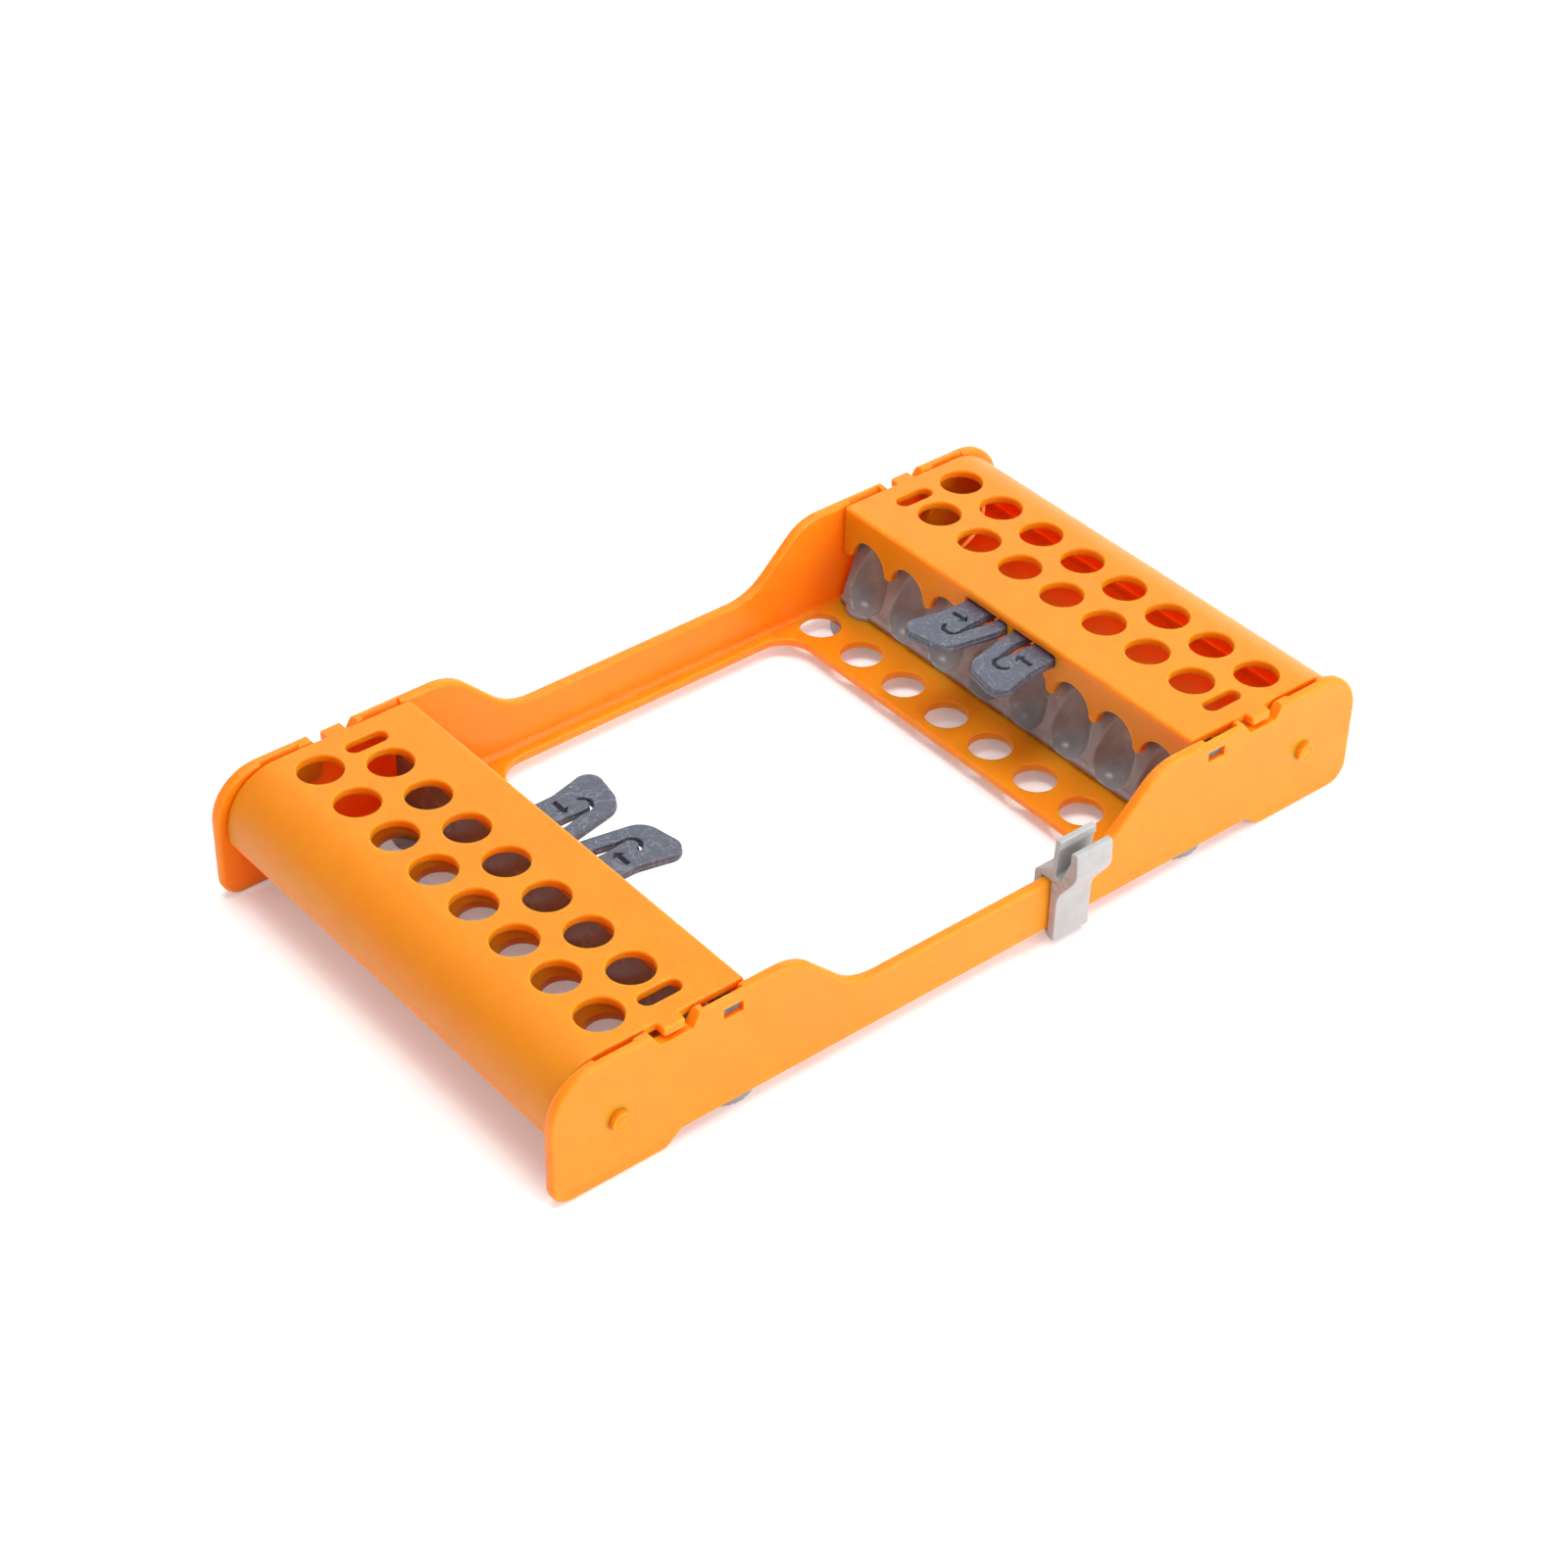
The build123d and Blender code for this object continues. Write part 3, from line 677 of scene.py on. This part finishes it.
def floor_plate(material):
    """Floor at both ends and the ledges beside the central opening, drilled."""
    outline = box_outline((-FLOOR_END_X, -WALL_IN - FLOOR_EDGE), (FLOOR_END_X, WALL_IN + FLOOR_EDGE))
    opening = box_outline((-OPENING_X, -OPENING_Y), (OPENING_X, OPENING_Y), OPENING_R)
    plain = plate([outline, opening], FLOOR_UNDER, FLOOR_TOP, FLOOR_EDGE)
    rows = [(side * STRIP_ROW_X, 8, FLOOR_PITCH) for side in (-1, 1)]
    rows += [(side * COVERED_ROW_X, 7, FLOOR_PITCH) for side in (-1, 1)]
    return perforated(plain, rows, FLOOR_LIP, FLOOR_UNDER, FLOOR_TOP, material)


def wall_fillet():
    """The rounded inner corner between floor and back wall."""
    curve = arc((WALL_IN - FLOOR_FILLET, FLOOR_TOP + FLOOR_FILLET), FLOOR_FILLET, 0, -90)
    section = curve + [(WALL_IN - FLOOR_FILLET, FLOOR_TOP - 1), (WALL_IN + 1, FLOOR_TOP - 1)]
    section += [(WALL_IN + 1, FLOOR_TOP + FLOOR_FILLET)]
    return prism(section, -FILLET_END_X, FILLET_END_X, FACING_X)


def floor_curl():
    """The floor's right end, curled up around the pivot."""
    inner, outer = CURL_R
    centre = (PIVOT_X, PIVOT_Z)
    turns = [-math.degrees(math.asin((PIVOT_Z - CURL_TOP) / r)) for r in (inner, outer)]
    section = arc(centre, inner, turns[0], -93) + arc(centre, outer, -93, turns[1])
    return plate([section], -OPENING_Y, OPENING_Y, FLOOR_EDGE, FACING_Y)


def tray(material):
    solids = front_and_back(side_wall()) + front_and_back(wall_fillet())
    return fused([floor_plate(material)] + solids + both_ends(floor_curl()))


# ---- cover ----
# the cover is one bent sheet: s runs up the comb wall, over the top and down the end wall
BEND_X = COVER_END_X - COVER_END_R
BEND_Z = COVER_TOP - COVER_END_R
COVER_UNDER = COVER_TOP - COVER
COMB_S = COVER_UNDER - COMB_LOW
RISE_S = COVER - COVER_CORNER_R
CORNER_S = COVER_CORNER_R * math.pi / 2
TOP_S = COMB_S + 2 * RISE_S + CORNER_S
TOP_X = COVER_INNER_X + COVER
BEND_S = TOP_S + BEND_X - TOP_X
END_S = BEND_S + COVER_END_R * math.pi / 2
SHEET_S = END_S + BEND_Z - COVER_END_LOW


def sheet_s(x):
    """The sheet's s at x on the top plate."""
    return TOP_S + x - TOP_X


def around(centre, radius, angle):
    """A point on a bend, its angle in radians from straight up towards the cover's end."""
    return Vector((centre[0] + radius * math.sin(angle), centre[1] + radius * math.cos(angle)))


def skins(s):
    """The outer and inner skin of the cover at s, in X and Z."""
    if s <= COMB_S:
        z = COMB_LOW + s
        return Vector((COVER_INNER_X, z)), Vector((TOP_X, z))
    if s <= TOP_S:
        along = s - COMB_S
        if along < RISE_S:
            outer = Vector((COVER_INNER_X, COVER_UNDER + along))
        elif along < RISE_S + CORNER_S:
            centre = (COVER_INNER_X + COVER_CORNER_R, COVER_TOP - COVER_CORNER_R)
            outer = around(centre, COVER_CORNER_R, (along - RISE_S) / COVER_CORNER_R - math.pi / 2)
        else:
            outer = Vector((TOP_X - (TOP_S - s), COVER_TOP))
        return outer, Vector((TOP_X, COVER_UNDER))
    if s <= BEND_S:
        x = TOP_X + s - TOP_S
        return Vector((x, COVER_TOP)), Vector((x, COVER_UNDER))
    if s <= END_S:
        angle = (s - BEND_S) / COVER_END_R
        centre = (BEND_X, BEND_Z)
        return around(centre, COVER_END_R, angle), around(centre, COVER_END_R - COVER, angle)
    z = BEND_Z - (s - END_S)
    return Vector((COVER_END_X, z)), Vector((COVER_END_X - COVER, z))


def comb_edge():
    """The lower edge of the comb wall: an arch over each instrument, a round tooth between."""
    centre_s = ARCH_Z - COMB_LOW
    flank = math.degrees(math.acos((TOOTH_RISE - centre_s) / ARCH_R))
    chord = ARCH_R * math.sin(math.radians(flank))
    tooth = PITCH / 2 - chord
    end_y = COVER_HALF - TOOTH_RISE
    points = arc((TOOTH_RISE, -end_y), TOOTH_RISE, -90, -180)
    points += arc((TOOTH_RISE, CHANNEL_Y[0] - PITCH / 2), tooth, 180, 90)[1:]
    for y in CHANNEL_Y:
        points += arc((centre_s, y), ARCH_R, -flank, flank)
        tooth_end = 180 if y == CHANNEL_Y[-1] else 90
        points += arc((TOOTH_RISE, y + PITCH / 2), tooth, 270, tooth_end)[1:]
    return points + arc((TOOTH_RISE, end_y), TOOTH_RISE, 180, 90)


def sheet_outline():
    """The flat pattern of the cover, with a rest tab on each side."""
    s0, s1 = sheet_s(TAB_X - TAB_WIDTH / 2), sheet_s(TAB_X + TAB_WIDTH / 2)
    tab = [(s0, COVER_HALF, 0.3), (s0, TAB_TIP_Y, TAB_R), (s1, TAB_TIP_Y, TAB_R), (s1, COVER_HALF, 0.3)]
    end = [(SHEET_S, COVER_HALF, TAB_R), (SHEET_S, -COVER_HALF, TAB_R)]
    back = [(s, -y, r) for s, y, r in reversed(tab)]
    return rounded([*comb_edge(), *tab, *end, *back])


def leg_window(side):
    y0, y1 = sorted((side * (ROOT_IN - 0.2), side * (ROOT_OUT + 0.2)))
    return box_outline((LATCH_LOW - 0.2 - COMB_LOW, y0), (COMB_S - SEAM, y1), 0.5)


def drain_slot(side):
    reach = (SLOT_LENGTH - SLOT_WIDTH) / 2
    s, y = sheet_s(INNER_ROW_X), side * SLOT_Y
    return arc((s + reach, y), SLOT_WIDTH / 2, -90, 90) + arc((s - reach, y), SLOT_WIDTH / 2, 90, 270)


def bend_lines():
    """Where the flat sheet is divided so that it can bend."""
    lines = [COMB_S, COMB_S + RISE_S, TOP_S - RISE_S, TOP_S, BEND_S, END_S]
    lines += [COMB_S + RISE_S + CORNER_S * i / 6 for i in range(1, 6)]
    return lines + [BEND_S + (END_S - BEND_S) * i / 24 for i in range(1, 24)]


def bent_sheet(material):
    """Comb wall, top plate and end wall of the right cover."""
    outlines = [sheet_outline()]
    outlines += [shape(side) for shape in (leg_window, drain_slot) for side in (-1, 1)]
    flat = plate(outlines, -COVER, 0, COVER_EDGE)
    rows = [(sheet_s(OUTER_ROW_X), 8, PITCH), (sheet_s(INNER_ROW_X), 7, PITCH)]
    flat = perforated(flat, rows, COVER_LIP, -COVER, 0, material)
    for s in bend_lines():
        divide(flat, s, 0.0005)
    for vert in flat.verts:
        outer, inner = skins(vert.co.x)
        place = outer.lerp(inner, -vert.co.z / COVER)
        vert.co = (place.x, vert.co.y, place.y)
    bmesh.ops.remove_doubles(flat, verts=flat.verts, dist=0.002)
    return flat


def ear():
    """Back side plate of the right cover with its trunnion."""
    centre = (PIVOT_X, PIVOT_Z)
    start = 180 - math.degrees(math.asin((EAR_LOW - PIVOT_Z) / EAR_R))
    end = 360 + math.degrees(math.asin((COVER_END_LOW - PIVOT_Z) / EAR_R))
    skin = COVER_EDGE + SEAM
    outline = rounded([
        (EAR_FRONT_X, COVER_TOP - skin),
        (EAR_FRONT_X, EAR_LOW, 1.5),
        *arc(centre, EAR_R, start, end),
        (COVER_END_X - skin, COVER_END_LOW, TAB_R),
        (COVER_END_X - skin, COVER_TOP - skin, COVER_END_R - skin),
    ])
    web = plate([outline], -COVER_HALF + SEAM, -EAR_IN, COVER_EDGE, FACING_Y)
    pin = plate([circle(centre, PIN_R)], -PIN_TIP_Y, -EAR_IN, 0.2, FACING_Y)
    inner, outer, depth = PIN_RING
    ring = [circle(centre, outer), circle(centre, inner)]
    groove = plate(ring, -PIN_TIP_Y - 1, -PIN_TIP_Y + depth, 0.05, FACING_Y)
    return [web, cut(pin, [groove], 0.04)]


def latch_guides():
    """Rib, lugs and post under the cover that carry the back latch."""
    x0, x1, y0, _ = BOLT
    under = LATCH_LOW - LUG_GAP
    rib = plate([box_outline((x1 + 0.2, y0), (x1 + 1.4, EAR_IN), 0.3)], under, COVER_UNDER + 0.5, 0.2)
    reach, half, thick = LUG
    lugs = []
    for y in LUG_Y:
        lug = box_outline((TOP_X - 1, y - half), (TOP_X + reach, y + half), 0.3)
        lugs.append(plate([lug], under, under + thick, 0.15))
    post_at = ((x0 + x1) / 2, (ROOT_IN + SLOT_IN) / 2)
    post = plate([circle(post_at, POST_R)], under, COVER_UNDER + 0.5, 0.2)
    return [rib, post] + lugs


def cover(material):
    """The right cover."""
    sided = [twin for solid in ear() + latch_guides() for twin in front_and_back(solid)]
    return fused([bent_sheet(material)] + sided)


# ---- latches ----
def latch_outlines():
    """Plan of the right back squeeze tab, with the hooked slot between its legs, and its arrow."""
    bottom_in, bottom_out = (HOOK[1] - r for r in HOOK_R)
    middle_r = sum(HOOK_R) / 2
    angle = math.radians(HOOK_END)
    tip = (HOOK[0] + middle_r * math.cos(angle), HOOK[1] + middle_r * math.sin(angle))
    turns = 270
    plan = rounded([
        (LATCH_ROOT_X, ROOT_IN),
        (53.8, ROOT_IN, 4.0),
        (41.0, 3.5, 5.0),
        (38.6, 16.3, 3.0),
        (44.3, 14.8, 8.0),
        (50.3, ROOT_OUT, 6.0),
        (LATCH_ROOT_X, ROOT_OUT),
        (LATCH_ROOT_X, SLOT_OUT),
        (51.45, SLOT_OUT, 2.0),
        (48.4, bottom_in, 1.0),
        *arc(HOOK, HOOK_R[0], turns, HOOK_END),
        *arc(tip, (HOOK_R[1] - HOOK_R[0]) / 2, HOOK_END + 180, HOOK_END + 360)[1:-1],
        *arc(HOOK, HOOK_R[1], HOOK_END, turns),
        (48.4, bottom_out, 2.0),
        (53.8, SLOT_IN, 2.0),
        (LATCH_ROOT_X, SLOT_IN),
    ])
    x, y = ARROW
    neck, tail = y + ARROW_HEAD_LENGTH, y + ARROW_LENGTH
    right = [(x + ARROW_HEAD / 2, neck), (x + ARROW_SHAFT / 2, neck), (x + ARROW_SHAFT / 2, tail)]
    arrow = [(x, y)] + right + [(2 * x - u, v) for u, v in reversed(right)]
    return [plan, arrow]


def latch_and_leg():
    """The right back latch and its bending leg, cut apart."""
    step_z, step = LATCH_STEP
    outlines = latch_outlines()
    upper = plate(outlines, LATCH_LOW + LATCH_EDGE, LATCH_TOP, LATCH_EDGE)
    whole = fused([upper, plate(outlines, LATCH_LOW, step_z, LATCH_EDGE / 2, grown=step)])
    divide(whole, LATCH_SPLIT_X, 1e-4)
    pieces = []
    for keep_leg in (False, True):
        piece = whole.copy()
        wrong = []
        for face in piece.faces:
            middle = face.calc_center_bounds()
            in_leg = middle.x > LATCH_SPLIT_X and middle.y < LATCH_SPLIT_Y
            if in_leg != keep_leg:
                wrong.append(face)
        bmesh.ops.delete(piece, geom=wrong, context="FACES")
        rim = [edge for edge in piece.edges if edge.is_boundary]
        bmesh.ops.holes_fill(piece, edges=rim)
        pieces.append(piece)
    x0, x1, y0, y1 = BOLT
    bolt = plate([box_outline((x0, y0), (x1, y1), 0.35)], LATCH_LOW, LATCH_TOP, LATCH_EDGE)
    latch, leg = pieces
    return joined([latch, bolt]), leg


# ---- rests ----
def scoop_and_slit(y):
    """Cutters for the round-ended hollow and the slit that hold one instrument."""
    depth = REST_TOP + 1 - SCOOP_LOW
    profile = [(0, 0), *arc((0, SCOOP_R), SCOOP_R, -90, 0)[1:], (SCOOP_R, depth), (0, depth)]
    scoop = bmesh.new()
    verts = [scoop.verts.new((r, 0, z)) for r, z in profile]
    edges = [scoop.edges.new(pair) for pair in zip(verts, verts[1:])]
    bmesh.ops.spin(
        scoop, geom=verts + edges, cent=(0, 0, 0), axis=(0, 0, 1), angle=math.tau, steps=HOLE_SIDES
    )
    bmesh.ops.remove_doubles(scoop, verts=scoop.verts, dist=0.001)
    bmesh.ops.recalc_face_normals(scoop, faces=scoop.faces)
    bmesh.ops.translate(scoop, vec=(REST_FRONT_X, y, SCOOP_LOW), verts=scoop.verts)
    slit_box = ((REST_FRONT_X, y - SLIT / 2), (REST_BACK_X + 1, y + SLIT / 2))
    return [scoop, prism(box_outline(*slit_box), SLIT_LOW, REST_TOP + 1, LYING)]


def rest():
    """The right rest: leaning face with a hollow for each instrument, on two round feet."""
    lip_top, lip = REST_LIP
    section = rounded([
        (REST_FRONT_X, FLOOR_TOP),
        (REST_FRONT_X - lip, lip_top - lip, 0.3),
        (REST_FRONT_X, lip_top, 0.3),
        (REST_FRONT_X + lip, lip_top),
        (REST_FOOT_X, lip_top + lip),
        (REST_TOP_X, REST_TOP),
        (REST_BACK_X, REST_TOP),
        (REST_BACK_X, FLOOR_TOP),
    ])
    block = prism(section, -REST_HALF, REST_HALF, FACING_Y)
    hollows = [cutter for y in CHANNEL_Y for cutter in scoop_and_slit(y)]
    work, tool = with_tool(block, hollows, "DIFFERENCE")
    hollowed = bmesh.new()
    hollowed.from_mesh(evaluated_mesh(work))
    bpy.data.objects.remove(tool)
    stem = prism(circle(PAD, STEM_R), FLOOR_UNDER - 1, FLOOR_TOP + 1, LYING)
    pad = prism(circle(PAD, PAD_R), 0, FLOOR_UNDER, LYING)
    whole = joined([hollowed] + front_and_back(stem) + front_and_back(pad))
    work = add_object("work", as_mesh(whole, "work"))
    remesh = work.modifiers.new("skin", "REMESH")
    remesh.mode = "VOXEL"
    remesh.voxel_size = SKIN
    soften = work.modifiers.new("soften", "SMOOTH")
    soften.factor = 0.5
    soften.iterations = 5
    result = bmesh.new()
    result.from_mesh(evaluated_mesh(work))
    return result


# ---- rail clip ----
def rail_clip():
    """Clip over the front rail, with a slot between two prongs above it."""
    section = rounded([
        (54.9, 1.9, 0.3),
        (56.2, 1.3, 1.0),
        (57.45, 1.15, 0.5),
        (57.45, 12.2, 6.0),
        (62.35, 19.3, 5.0),
        (61.9, 25.3, 0.6),
        (60.2, 25.1, 0.5),
        (60.2, 22.6, 3.0),
        (57.9, 16.6, 0.7),
        (56.3, 16.6, 0.7),
        (56.95, 23.5, 0.3),
        (57.4, 24.0, 0.2),
        (57.35, 25.8, 0.3),
        (55.9, 25.8, 0.4),
        (55.35, 18.6, 1.2),
        (50.85, 15.6, 1.2),
        (50.85, 6.6, 0.4),
        (52.8, 6.6, 0.3),
        (52.8, 15.2),
        (55.5, 15.2),
        (55.5, 2.8),
        (54.9, 2.8),
    ])
    inner, outer, depth = CLIP_RING
    start, end = CLIP_X
    rings = [
        plate([circle(centre, outer), circle(centre, inner)], low, high, 0.02, FACING_X)
        for centre in CLIP_RING_PLACES
        for low, high in ((start - 1, start + depth), (end - depth, end + 1))
    ]
    marked = cut(plate([section], *CLIP_X, CLIP_EDGE, FACING_X), rings, 0.03)
    return mirrored(marked, Vector((0, 1, 0)))


# ---- pieces ----
def add_piece(name, solid, material):
    """A finished piece in metres, smooth with its flat faces kept flat."""
    mesh = as_mesh(solid, name)
    mesh.transform(Matrix.Scale(0.001, 4))
    mesh.materials.clear()
    mesh.materials.append(material)
    mesh.polygons.foreach_set("material_index", [0] * len(mesh.polygons))
    mesh.polygons.foreach_set("use_smooth", [True] * len(mesh.polygons))
    mesh.set_sharp_from_angle(angle=math.radians(SHARP_ANGLE))
    work = add_object("work", mesh)
    weighted = work.modifiers.new("weighted", "WEIGHTED_NORMAL")
    weighted.weight = 100
    weighted.keep_sharp = True
    piece = add_object(name, evaluated_mesh(work))
    piece.data.name = name
    return piece


def add_twins(name, solid, material):
    """The left and right piece of a pair, by side."""
    right, left = both_ends(solid)
    return {
        side: add_piece(f"{name}_{side}", twin, material)
        for side, twin in (("left", left), ("right", right))
    }


def dress(orange, dark, grey, pale):
    """Builds every piece in place of its CAD node and puts each on its body, apart from the spring
    legs, which stay on no body.
    """
    shell = add_piece("tray_moulding", tray(orange), orange)
    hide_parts("frame")
    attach(shell, "tray")
    for side, piece in add_twins("end_cover", cover(orange), orange).items():
        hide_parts(f"cover_{side}")
        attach(piece, f"cover_{side}")
    latch, leg = latch_and_leg()
    for end, latch_solid, leg_solid in zip(reversed(ENDS), front_and_back(latch), front_and_back(leg)):
        for side, piece in add_twins(f"squeeze_tab_{end}", latch_solid, dark).items():
            body = f"latch_{side}_{end}"
            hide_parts(body)
            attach(piece, body)
        for side, piece in add_twins(f"spring_leg_{end}", leg_solid, dark).items():
            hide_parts(f"latch_spring_{side}_{end}")
            sign = 1 if side == "right" else -1
            start = (sign * BOLT[0] * 0.001, 0, LATCH_TOP * 0.001)
            stop = (sign * LATCH_SPLIT_X * 0.001, 0, LATCH_TOP * 0.001)
            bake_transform(piece)
    for side, piece in add_twins("rest", rest(), grey).items():
        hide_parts(f"instrument_rest_{side}")
        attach(piece, "tray")
    piece = add_piece("marker_clip", rail_clip(), pale)
    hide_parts("rail_clip")
    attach(piece, "rail_clip")


# ---- camera, floor and light ----
CAMERA_AT = (-342.3, -401.8, 426.0)
CAMERA_AZIMUTH = 40.141
CAMERA_DROP = 38.059
CAMERA_ROLL = 1.292
LENS = 77.33
FLOOR_LIFT = 0.2
WORLD_STRENGTH = 0.5
LAMPS = (
    # name, place, width, height, watts
    ("key", (0.45, -0.38, 1.1), 0.3, 0.3, 4.0),
    ("top", (-0.1, 0.1, 1.3), 0.6, 0.6, 9.0),
    ("front", (0.4, -1.55, 0.5), 1.6, 1.2, 24.0),
    ("backdrop", (1.5, 1.6, 0.8), 3.0, 1.5, 16.0),
)


def add_camera():
    azimuth, drop, roll = (math.radians(a) for a in (CAMERA_AZIMUTH, CAMERA_DROP, CAMERA_ROLL))
    forward = Vector((
        math.sin(azimuth) * math.cos(drop), math.cos(azimuth) * math.cos(drop), -math.sin(drop)
    ))
    right = forward.cross(Vector((0, 0, 1))).normalized()
    up = right.cross(forward)
    rolled_right = math.cos(roll) * right + math.sin(roll) * up
    rolled_up = math.cos(roll) * up - math.sin(roll) * right
    turn = Matrix((rolled_right, rolled_up, -forward)).transposed().to_4x4()
    camera = add_object("camera", bpy.data.cameras.new("camera"))
    camera.matrix_world = Matrix.Translation(Vector(CAMERA_AT) * 0.001) @ turn
    camera.data.lens = LENS
    camera.data.sensor_width = 36.0
    camera.data.clip_start = 0.01
    camera.data.clip_end = 20.0
    bpy.context.scene.camera = camera


def add_floor():
    """A plain white floor that keeps the shadow."""
    material = bpy.data.materials.new("floor")
    material.use_nodes = True
    graph = Graph(material.node_tree)
    seen, glossy, through = graph.node(
        "ShaderNodeLightPath", output=("Is Camera Ray", "Is Glossy Ray", "Is Transmission Ray")
    )
    lift = (seen + glossy + through).at_most(1.0) * FLOOR_LIFT
    matt = graph.node("ShaderNodeBsdfDiffuse", inputs={"Color": (0.9, 0.9, 0.905, 1.0)})
    glow = graph.node("ShaderNodeEmission", inputs={"Color": (1.0, 0.99, 1.0, 1.0), "Strength": lift})
    both = graph.node("ShaderNodeAddShader", inputs={0: matt, 1: glow})
    graph.node("ShaderNodeOutputMaterial", inputs={"Surface": both})
    solid = bmesh.new()
    bmesh.ops.create_grid(solid, x_segments=1, y_segments=1, size=6.0)
    ground = add_object("floor", as_mesh(solid, "floor"))
    ground.data.materials.append(material)


def add_light():
    world = bpy.data.worlds.new("world")
    bpy.context.scene.world = world
    world.use_nodes = True
    graph = Graph(world.node_tree)
    sky, white = (
        graph.node("ShaderNodeBackground", inputs={"Color": (1.0, 1.0, 1.0, 1.0), "Strength": strength})
        for strength in (WORLD_STRENGTH, 1.0)
    )
    seen = graph.node("ShaderNodeLightPath", output="Is Camera Ray")
    both = graph.node("ShaderNodeMixShader", inputs={0: seen, 1: sky, 2: white})
    graph.node("ShaderNodeOutputWorld", inputs={"Surface": both})
    for name, place, width, height, watts in LAMPS:
        lamp = bpy.data.lights.new(name, "AREA")
        lamp.shape = "RECTANGLE"
        lamp.size = width
        lamp.size_y = height
        lamp.energy = watts
        holder = add_object(name, lamp)
        holder.location = place
        holder.rotation_euler = (-Vector(place)).to_track_quat("-Z", "Y").to_euler()


PERFORATION = perforation_tree()
bpy.context.scene.view_settings.view_transform = "Standard"
dress(orange_plastic(), latch_plastic(), silicone(), clip_plastic())
add_camera()
add_floor()
add_light()
